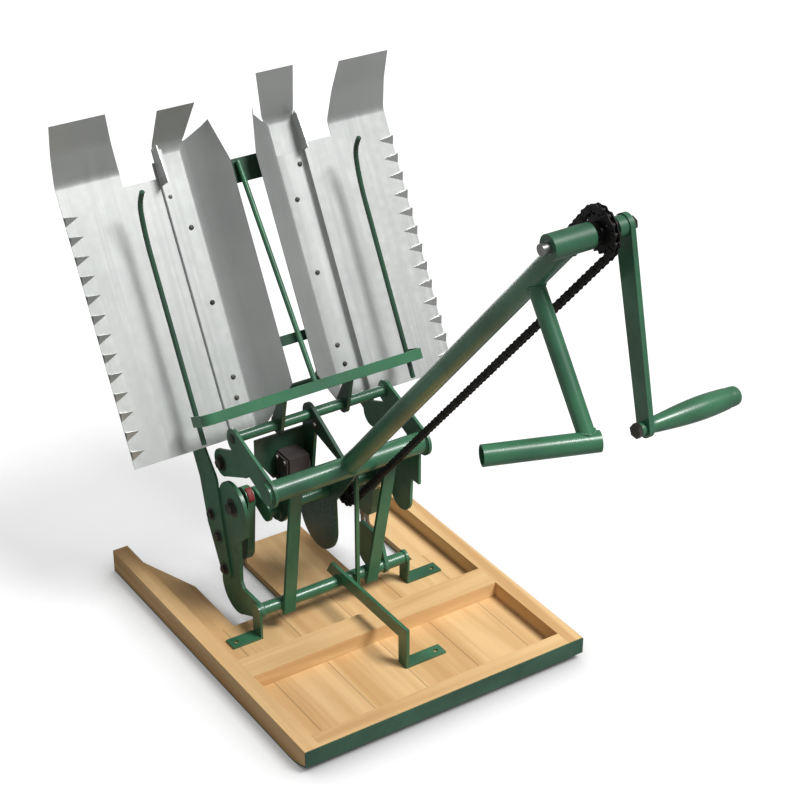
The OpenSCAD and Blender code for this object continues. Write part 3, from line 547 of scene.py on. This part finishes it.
def make_link(name, plates, start, profile, sides):
    """One link as a template: two side plates and two rollers or rivets across them."""
    bm = bmesh.new()
    for x in plates:
        link_plate(bm, x)
    for y in (-PITCH / 2, PITCH / 2):
        lathe(bm, Vector((start, y, 0)), X_AXIS, profile, sides)
    bmesh.ops.recalc_face_normals(bm, faces=bm.faces[:])
    me = bpy.data.meshes.new(name)
    bm.to_mesh(me)
    bm.free()
    o = bpy.data.objects.new(name, me)
    bpy.context.scene.collection.objects.link(o)
    return o


def chain_path():
    """Closed loop round both wheels; the upper run hangs a little slack."""
    upper, lower = CRANK + X_AXIS * CHAIN_X, SHAFT + X_AXIS * CHAIN_X
    run = (lower - upper).normalized()
    side = Vector((0, -run.z, run.y))
    straight, bend = [k / 60 for k in range(60)], [math.pi * k / 40 for k in range(40)]
    path = [upper + side * (WHEEL_R - CHAIN_SAG * 4 * f * (1 - f)) + (lower - upper) * f
            for f in straight]
    path += [lower + WHEEL_R * (side * math.cos(f) + run * math.sin(f)) for f in bend]
    path += [lower - side * WHEEL_R + (upper - lower) * f for f in straight]
    path += [upper - WHEEL_R * (side * math.cos(f) + run * math.sin(f)) for f in bend]
    return path


def make_chain():
    roller = [(0, ROLLER_R), (0.0042, ROLLER_R)]
    inner = make_link("inner_link", (-0.0035, 0.0021), -0.0021, roller, 14)
    rivet = [(0, 0.0014), (0.0004, RIVET_R), (0.0102, RIVET_R), (0.0106, 0.0014)]
    outer = make_link("outer_link", (-0.0048, 0.0034), -0.0053, rivet, 10)
    path = chain_path()
    length = sum((path[k] - path[k - 1]).length for k in range(len(path)))
    edges = [(k, (k + 1) % len(path)) for k in range(len(path))]
    me = bake("chain", [tuple(p) for p in path], edges, chain_tree(),
              {"Inner": inner, "Outer": outer, "Count": 2 * round(length / PITCH / 2),
               "Finish": MATS["chain"]})
    for o in (inner, outer):
        data = o.data
        bpy.data.objects.remove(o)
        bpy.data.meshes.remove(data)
    o = add_mesh("chain_links", me, "chain", "sled_frame", 35)
    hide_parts("drive_chain")


# Weld beads on the frame

HANDLE_R, MAIN_R, POST_R, GRIP_R = 0.0162, 0.0184, 0.0127, 0.0152
POST_SHARE, POST_L, POST_DROP = 0.865, 0.227, math.radians(54.5)
FOOT_Z, LEG_RISE = 0.05, 0.254
FULL_TURN = [k * math.tau / 40 for k in range(40)]


def make_welds():
    """Beads where the tubes, legs and plates meet, each a little above the tubes' skin."""
    verts, edges = [], []

    def bead(points, closed=False):
        first, count = len(verts), len(points)
        verts.extend(tuple(p) for p in points)
        edges.extend((first + k, first + k + 1) for k in range(count - 1))
        if closed:
            edges.append((first + count - 1, first))

    def saddle(root, way, over, seat, radius):
        """Tube end that stands on another tube."""
        bead([root + way * math.sqrt(seat ** 2 - (radius * math.sin(f)) ** 2)
              + radius * (math.cos(f) * X_AXIS + math.sin(f) * over) for f in FULL_TURN], True)

    def collar(x, centre, radius):
        """Tube through a plate."""
        bead([Vector((x, centre.y + radius * math.cos(f), centre.z + radius * math.sin(f)))
              for f in FULL_TURN], True)

    along = (CRANK - MAIN).normalized()
    over = Vector((0, along.z, -along.y))
    saddle(MAIN, along, over, MAIN_R, HANDLE_R)
    saddle(CRANK, -along, over, MAIN_R, HANDLE_R)

    post_top = MAIN + (CRANK - MAIN) * POST_SHARE
    down = Vector((0, -math.cos(POST_DROP), -math.sin(POST_DROP)))
    aside = Vector((0, down.z, -down.y))
    slope = down.dot(over)
    ends = []
    for f in FULL_TURN:
        reach = math.copysign(math.sqrt(HANDLE_R ** 2 - (POST_R * math.cos(f)) ** 2), slope)
        ends.append(post_top + down * (reach - POST_R * math.sin(f) * aside.dot(over)) / slope
                    + POST_R * (math.cos(f) * X_AXIS + math.sin(f) * aside))
    bead(ends, True)
    saddle(post_top + down * POST_L, -down, aside, GRIP_R, POST_R)

    for x in (-0.1494, 0.0866, 0.0934, 0.1305):
        collar(x, BOTTOM, 0.0116)
    for side in (-1, 1):
        collar(side * 0.1425, MAIN, 0.0186)
        collar(side * 0.1484, MAIN, 0.0186)
        collar(side * 0.1425, FRONT_RAIL, 0.0096)
    for x in (-0.1555, 0.1475):
        collar(x, REAR_RAIL, 0.0096)

    for x, half, lean in ((-0.106, 0.011, 0.022), (0.029, 0.003, 0.0), (0.056, 0.011, 0.046)):
        slant = lean / LEG_RISE
        for y, z in ((-0.0135, 0.3045), (-0.0155, 0.2955), (-0.0072, 0.0575), (-0.0072, 0.0685)):
            at = x + slant * (z - FOOT_Z)
            bead([Vector((at - half, y, z)), Vector((at + half, y, z))])
        for edge in (-half, half):
            bead([Vector((x + edge + slant * (z - FOOT_Z), -0.0068, z)) for z in (0.056, 0.070)])
    for x in (-0.0862, -0.0798, 0.0928, 0.0992):
        bead([Vector((x, -0.0066, 0.26)), Vector((x, -0.0066, 0.302))])
    for x in (-0.0035, 0.0035):
        bead([Vector((x, BOTTOM.y + 0.0115 * math.cos(f), BOTTOM.z + 0.0115 * math.sin(f)))
              for f in (math.pi * k / 12 for k in range(13))])
    me = bake("welds", verts, edges, weld_tree(),
              {"Spacing": 0.0021, "Size": 0.0019, "Seed": 4, "Finish": MATS["green"]})
    add_mesh("weld_beads", me, "green", "sled_frame", 60)


# Trays

FOLD_R, TIP_R, TIP_AT = 0.03, 0.09, 0.045


def bend_map(offset, fold=TRAY_L, turn=LEAN, tip=math.radians(9)):
    """Developed sheet (x, s) to the trays: flat, a bend to the upright lip, then a slight one."""
    bends = ((fold - FOLD_R * math.tan(turn / 2), FOLD_R, turn), (fold + TIP_AT, TIP_R, tip))

    def place(x, s):
        out, up, f, at = offset, 0.0, 0.0, 0.0
        for start, radius, angle in bends:
            run = min(s, start) - at
            out, up = out + run * math.sin(f), up + run * math.cos(f)
            if s <= start:
                return tray_point(x, out, up)
            part = min((s - start) / radius, angle)
            out += radius * (math.cos(f) - math.cos(f + part))
            up += radius * (math.sin(f + part) - math.sin(f))
            f, at = f + part, start + radius * part
        return tray_point(x, out + (s - at) * math.sin(f), up + (s - at) * math.cos(f))
    cuts = [start + radius * angle * k / 10 for start, radius, angle in bends for k in range(11)]
    return place, cuts


def sheet_piece(bm, outline, offset, side, **bend):
    """Thin plate cut to an outline in the developed sheet and bent."""
    place, cuts = bend_map(offset, **bend)
    place_back = bend_map(offset - SHEET, **bend)[0]
    flat = bmesh.new()
    flat.faces.new([flat.verts.new((x, s, 0)) for x, s in outline])
    for s in cuts:
        cut(flat, (0, s, 0), (0, 1, 0))
    bmesh.ops.triangulate(flat, faces=flat.faces[:])
    flat.verts.index_update()
    front = [bm.verts.new(mirrored(place(v.co.x, v.co.y), side)) for v in flat.verts]
    back = [bm.verts.new(mirrored(place_back(v.co.x, v.co.y), side)) for v in flat.verts]
    thicken(bm, flat, front, back)


def add_tooth(bm, side, edge, up):
    """Dart pressed out of the sheet at its outer edge."""
    points = (tray_point(edge - 0.025, 0.0003, up + 0.0035), tray_point(edge, 0.0002, up - 0.0078),
              tray_point(edge, 0.0002, up + 0.0078), tray_point(edge, 0.0085, up + 0.0066),
              tray_point(edge - 0.004, -0.0006, up))
    tip, low, high, ridge, inner = (bm.verts.new(mirrored(p, side)) for p in points)
    for face in ((tip, ridge, high), (tip, low, ridge), (low, inner, ridge), (ridge, inner, high)):
        bm.faces.new(face)


def make_tray(side, name):
    """Sheet with a notch between its two lips, and a row of teeth."""
    edge, top = TRAY_GAP + TRAY_W, TRAY_L + LIP_H
    notch_in, notch_out, notch_low = TRAY_GAP + 0.058, edge - 0.112, TRAY_L - 0.026
    bm = bmesh.new()
    sheet_piece(bm, [(TRAY_GAP, 0), (edge, 0), (edge, TRAY_L), (edge + 0.004, top),
                     (notch_out + 0.02, top), (notch_out, TRAY_L), (notch_out, notch_low),
                     (notch_in, notch_low), (notch_in, TRAY_L), (TRAY_GAP, TRAY_L)], 0.0, side)
    for k in range(13):
        add_tooth(bm, side, edge, TRAY_L / 14.5 * (k + 0.7))
    o = add_piece(name, bm, "zinc", "tray_carriage", 20)
    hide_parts(name.replace("_sheet", "_tray"))


def trim(strip, low, high, clear=True):
    """Cuts the channel along a line seen from the side; returns a spot and the way off it."""
    spot = tray_point(0, *low)
    away = (tray_point(0, *high) - spot).cross(X_AXIS).normalized()
    if away.dot(tray_point(0, 0.02, TRAY_L / 2) - spot) > 0:
        away = -away
    cut(strip, spot, away, clear)
    return spot, away


def channel_strip(side):
    """Middle layer of a channel: edge, floor and flared wall, trimmed, with its corner bent."""
    x_in, x_edge = TRAY_GAP, TRAY_GAP + CHANNEL_W
    hem = [(x_edge - 0.017, 0.0029), (x_edge - 0.002, 0.0029), (x_edge - 0.0004, 0.0018)]
    raised = [(x_edge, 0.015), (x_edge, 0.004), (x_edge - 0.0012, 0.0018)]
    section = (hem if side < 0 else raised) + [
        (x_edge - 0.004, 0.0008), (x_in + 0.007, 0.0008), (x_in + 0.004, 0.0014),
        (x_in + 0.001, 0.0032)]
    section += [(x_in - WALL_FLARE * t, WALL_D * t) for t in (0.12, 0.4, 0.7, 1.0)]
    strip = bmesh.new()
    rows = [[strip.verts.new(tray_point(x, out, up)) for x, out in section]
            for up in (0.0, WALL_L / 2, WALL_L + 0.04)]
    for low, high in zip(rows, rows[1:]):
        for k in range(len(section) - 1):
            strip.faces.new((low[k], low[k + 1], high[k + 1], high[k]))

    peak, bend_end = (WALL_D * 0.78, WALL_L + 0.023), (WALL_D, WALL_L - 0.048)
    trim(strip, (0.004, 0.0), (0.053, 0.062))
    trim(strip, (0.0025, WALL_L), peak)
    trim(strip, peak, bend_end)
    spot, away = trim(strip, (WALL_D * 0.53, WALL_L + 0.018), bend_end, False)
    wall_face = Vector((WALL_D, 0, 0)) + tray_point(0, WALL_FLARE, 0) - tray_point(0, 0, 0)
    for v in strip.verts:
        past = away.dot(v.co - spot)
        if past > 1e-5 and v.co.x < x_in - 0.01:
            v.co += wall_face.normalized() * past * 0.6
    bmesh.ops.triangulate(strip, faces=strip.faces[:])
    strip.verts.index_update()
    bmesh.ops.recalc_face_normals(strip, faces=strip.faces[:])
    strip.normal_update()
    return strip


def make_wall(side, name):
    """Channel beside the gap, with the lip above it and the plate at the lip's flank."""
    bm = bmesh.new()
    strip = channel_strip(side)
    half = SHEET * 0.45
    front = [bm.verts.new(mirrored(v.co + v.normal * half, side)) for v in strip.verts]
    back = [bm.verts.new(mirrored(v.co - v.normal * half, side)) for v in strip.verts]
    thicken(bm, strip, front, back)

    lip_in, lip_out = TRAY_GAP, TRAY_GAP + CHANNEL_W - 0.001
    low, top, wide, turn = WALL_L - 0.06, WALL_L + 0.09, lip_out + 0.003, 31
    if side < 0:
        top, wide, turn = WALL_L + 0.08, lip_out, 50
    sheet_piece(bm, [(lip_in + 0.0015, low), (lip_out, low), (lip_out, WALL_L - 0.004),
                     (wide, WALL_L + 0.01), (wide, top), (lip_in - 0.014, top),
                     (lip_in - 0.004, WALL_L + 0.01), (lip_in + 0.0015, WALL_L - 0.004)],
                0.0016, side, fold=WALL_L, turn=math.radians(turn), tip=0.0)

    flank = ((0.0, WALL_L - 0.062), (0.032, WALL_L - 0.058), (0.024, WALL_L + 0.003),
             (0.0, WALL_L - 0.004))
    skin(bm, [[bm.verts.new(mirrored(tray_point(x, out, up), side)) for out, up in flank]
              for x in (lip_out, lip_out - SHEET)])
    o = add_piece(name, bm, "zinc", "tray_carriage", 25)
    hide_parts(name.replace("_channel", "_wall"))


def make_spreaders():
    """Cross bars between the flared walls, their ends cut to the walls' slope and edges broken."""
    back, front, edge = 0.0172, 0.022, 0.0008
    bm = bmesh.new()
    for low, high in ((0.121, 0.138), (0.398, 0.438)):
        section = ((back, low + edge), (back, high - edge), (back + edge, high),
                   (front - edge, high), (front, high - edge), (front, low + edge),
                   (front - edge, low), (back + edge, low))
        ends = []
        for side in (-1, 1):
            ends.append([bm.verts.new(tray_point(
                side * (TRAY_GAP - WALL_FLARE * out / WALL_D + 0.0004), out, up))
                for out, up in section])
        skin(bm, ends)
    o = add_piece("cross_bars", bm, "dark", "tray_carriage", 30)
    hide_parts("spreader_bars")


def make_tray_screws():
    bm = bmesh.new()
    out = tray_point(0, 1, 0) - tray_point(0, 0, 0)
    for side in (-1, 1):
        for x, up in ((0.044, 0.404), (0.022, 0.348), (0.022, 0.222), (0.022, 0.096),
                      (0.026, 0.062)):
            pan_screw(bm, tray_point(side * (TRAY_GAP + x), 0.0015, up), out)
    add_piece("tray_screws", bm, "bolt", "tray_carriage", 40)


def make_rods():
    """Rods in front of the sheets, leaning out near the top and ending in a hook."""
    rod_x, rod_r = 0.2, 0.0043
    stretches = ((0.0315, 0.0, 10), (0.008, 1.6, 8), (0.003, 3.6, 12), (0.003, 0.0, 3))
    bm = bmesh.new()
    for side in (-1, 1):
        out, up, f = 0.045, 0.008, 0.0
        path = [tray_point(side * rod_x, out, up)]
        for step, turn, count in stretches:
            for k in range(count):
                f += math.radians(turn)
                out, up = out + step * math.sin(f), up + step * math.cos(f)
                path.append(tray_point(side * rod_x, out, up))
        sweep(bm, path, rod_r, X_AXIS)
    o = add_piece("bent_rods", bm, "dark", "tray_carriage", 40)
    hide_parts("retaining_rods")


def make_holder():
    """Flat bar on edge with rounded bends at both ends."""
    x_end, far, near, bend_r, bar_up = 0.2065, 0.092, 0.0412, 0.016, 0.048
    thick, tall, edge = 0.002, 0.009, 0.0006
    section = ((-thick, edge - tall), (edge - thick, -tall), (thick - edge, -tall),
               (thick, edge - tall), (thick, tall - edge), (thick - edge, tall),
               (edge - thick, tall), (-thick, tall - edge))
    path = [(-x_end, near)]
    for k in range(11):
        f = math.pi / 2 * k / 10
        path.append((-x_end + bend_r - bend_r * math.cos(f), far - bend_r + bend_r * math.sin(f)))
    path += [(-x, out) for x, out in path[::-1]]
    bm = bmesh.new()
    rings = []
    for k, (x, out) in enumerate(path):
        before, after = path[max(k - 1, 0)], path[min(k + 1, len(path) - 1)]
        along = Vector((after[0] - before[0], after[1] - before[1])).normalized()
        rings.append([bm.verts.new(tray_point(x - along.y * d, out + along.x * d, bar_up + up))
                      for d, up in section])
    skin(bm, rings)
    o = add_piece("bent_holder", bm, "green", "tray_carriage", 30)
    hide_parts("holder_bar")


# Crank grip and fasteners

def make_grip():
    """Turned grip: thin at the crank, thickest past its middle, two grooves and a rounded end."""
    length, dome, start_x = 0.15, 0.008, CHAIN_X + 0.047
    profile = [(0.0, 0.0094), (0.0012, 0.0108)]
    for k in range(1, 41):
        s = k / 40
        r = 0.0105 + 0.0064 * math.sin(math.radians(150) * s ** 1.1)
        for groove in (0.06, 0.93):
            r -= 0.0009 * math.exp(-((s - groove) / 0.01) ** 2)
        profile.append((length * s, r))
    end = profile[-1][1]
    for k in range(1, 10):
        f = math.pi / 2 * k / 9
        profile.append((length + dome * math.sin(f), max(end * math.cos(f), 0.0004)))
    bm = bmesh.new()
    lathe(bm, SPINDLE + X_AXIS * start_x, X_AXIS, profile, 48)
    o = add_piece("turned_grip", bm, "green", "crank_handle", 45)
    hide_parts("crank_grip")


def make_pads():
    """Dark red pads on the rims of the planting arms' heads."""
    arm_x, head_r, half, edge, last = 0.123, 0.019, 0.0052, 0.0008, 14
    for side, body in ((-1, "left_planter"), (1, "right_planter")):
        bm = bmesh.new()
        rings = []
        for k in range(last + 1):
            f = math.radians(104 + 5 * k)
            r = head_r + (0.0026 if 0 < k < last else 0.0016)
            section = ((-half, head_r - 0.0005), (-half, r - edge), (0.001 - half, r),
                       (half - 0.001, r), (half, r - edge), (half, head_r - 0.0005))
            rings.append([bm.verts.new((side * arm_x + x, PIN.y + out * math.cos(f),
                                        PIN.z + out * math.sin(f))) for x, out in section])
        skin(bm, rings)
        add_piece(body.replace("planter", "pad"), bm, "red", body, 40)


def make_bolts():
    left, right = -X_AXIS, X_AXIS
    bm = bmesh.new()
    for k, (y, z) in enumerate(((0.107, 0.09), (0.124, 0.146), (0.146, 0.178))):
        hex_bolt(bm, Vector((-0.16, y, z)), left, turn=0.4 * k)
    for k, (y, z) in enumerate(((0.107, 0.09), (0.1, 0.15))):
        hex_bolt(bm, Vector((-0.15, y, z)), right, stud=0.004, turn=0.3 + 0.5 * k)
    for x, y, z, away, flats in (
            (-0.148, 0.124, 0.286, left, 0.017), (0.152, 0.124, 0.286, right, 0.017),
            (-0.16, REAR_RAIL.y, REAR_RAIL.z, left, 0.013),
            (0.152, REAR_RAIL.y, REAR_RAIL.z, right, 0.013),
            (-0.156, 0.079, 0.225, left, 0.019), (0.148, 0.032, 0.174, right, 0.013)):
        hex_bolt(bm, Vector((x, y, z)), away, flats, flats * 0.42, turn=0.2 + 9 * y)
    for away in (left, right):
        hex_bolt(bm, FRONT_RAIL + away * 0.148, away, 0.015, 0.0018, washer=False)
    feed_box = Vector((-0.06, 0.06, 0.238))
    for y, z in ((0.008, 0.008), (0.032, 0.008), (0.008, 0.046), (0.032, 0.046)):
        hex_bolt(bm, feed_box + Vector((0, y, z)), left, 0.008, 0.004, washer=False)
    hex_bolt(bm, Vector((-0.004, 0.06, 0.343)), left, 0.01, 0.005)
    add_piece("frame_bolts", bm, "bolt", "sled_frame", 25)

    bm = bmesh.new()
    hex_bolt(bm, CRANK + right * (CHAIN_X + 0.05), right, 0.017, 0.007, washer=False, turn=0.3)
    hex_bolt(bm, SPINDLE + right * (CHAIN_X + 0.03), left, 0.019, 0.008, washer=False, turn=0.5)
    add_piece("crank_nut", bm, "bolt", "crank", 25)


make_chain()
make_welds()
for side, hand in ((1, "right"), (-1, "left")):
    make_tray(side, hand + "_sheet")
for side, hand in ((1, "right"), (-1, "left")):
    make_wall(side, hand + "_channel")
make_spreaders()
make_tray_screws()
make_rods()
make_holder()
make_grip()
make_pads()
make_bolts()


# Floor, backdrop and light

def make_floor():
    """White floor that looks paler to the camera than to the part; close to the part its glow is
    dimmed by ambient occlusion, a painted contact shadow.
    """
    bpy.ops.mesh.primitive_plane_add(size=30)
    floor = bpy.context.object
    floor.name = "floor"
    mat, tree, shader = new_material("floor_white")
    seen = add_node(tree, "ShaderNodeLightPath").outputs["Is Camera Ray"]
    shader.inputs["Roughness"].default_value = 1.0
    shader.inputs["Specular IOR Level"].default_value = 0.0
    tree.links.new(mix_colour(tree, seen, FLOOR_TO_PART, FLOOR_TO_CAMERA),
                   shader.inputs["Base Color"])
    # Ambient occlusion dims the floor's glow next to the part: painted shadow, not one cast by the
    # lamp
    near = add_node(tree, "ShaderNodeAmbientOcclusion", {"Distance": 0.3})
    painted_shadow_fade = math_node(tree, "POWER", near.outputs["AO"], 1.5)
    glow = add_node(tree, "ShaderNodeEmission", {"Strength": span(tree, painted_shadow_fade, 0.0, 1.12)})
    both = add_node(tree, "ShaderNodeMixShader",
                    {"Fac": math_node(tree, "MULTIPLY", seen, 0.6), 1: shader.outputs["BSDF"],
                     2: glow.outputs["Emission"]})
    tree.links.new(both.outputs["Shader"], tree.nodes["Material Output"].inputs["Surface"])
    floor.data.materials.append(mat)


def make_light():
    """Soft sky, white to the camera alone, and one wide key light."""
    world = bpy.data.worlds.new("studio")
    bpy.context.scene.world = world
    world.use_nodes = True
    tree = world.node_tree
    sky = tree.nodes["Background"]
    sky.inputs["Color"].default_value = WHITE
    sky.inputs["Strength"].default_value = 0.3
    backdrop = add_node(tree, "ShaderNodeBackground", {"Color": WHITE})
    seen = add_node(tree, "ShaderNodeLightPath").outputs["Is Camera Ray"]
    both = add_node(tree, "ShaderNodeMixShader", {"Fac": seen, 1: sky.outputs["Background"],
                                                  2: backdrop.outputs["Background"]})
    tree.links.new(both.outputs["Shader"], tree.nodes["World Output"].inputs["Surface"])

    data = bpy.data.lights.new("key", "SUN")
    data.energy = 3.9
    data.angle = math.radians(22)
    key = bpy.data.objects.new("key", data)
    key.location = (2.4, -1.4, 3.0)
    key.rotation_euler = Vector((-0.3, 0.48, -0.825)).to_track_quat("-Z", "Y").to_euler()
    bpy.context.scene.collection.objects.link(key)


def make_camera():
    """The photo's view."""
    data = bpy.data.cameras.new("camera")
    cam = bpy.data.objects.new("camera", data)
    bpy.context.scene.collection.objects.link(cam)
    az, el = math.radians(-33.31), math.radians(29.88)
    back = Vector((math.sin(az) * math.cos(el), -math.cos(az) * math.cos(el), math.sin(el)))
    cam.location = (-1.457, -2.4015, 2.0303)
    cam.rotation_euler = (-back).to_track_quat("-Z", "Y").to_euler()
    data.lens = 91.1
    data.sensor_width = 36.0
    data.clip_start = 0.05
    data.dof.use_dof = False
    bpy.context.scene.camera = cam


make_floor()
make_light()
make_camera()
bpy.context.scene.view_settings.view_transform = "Standard"
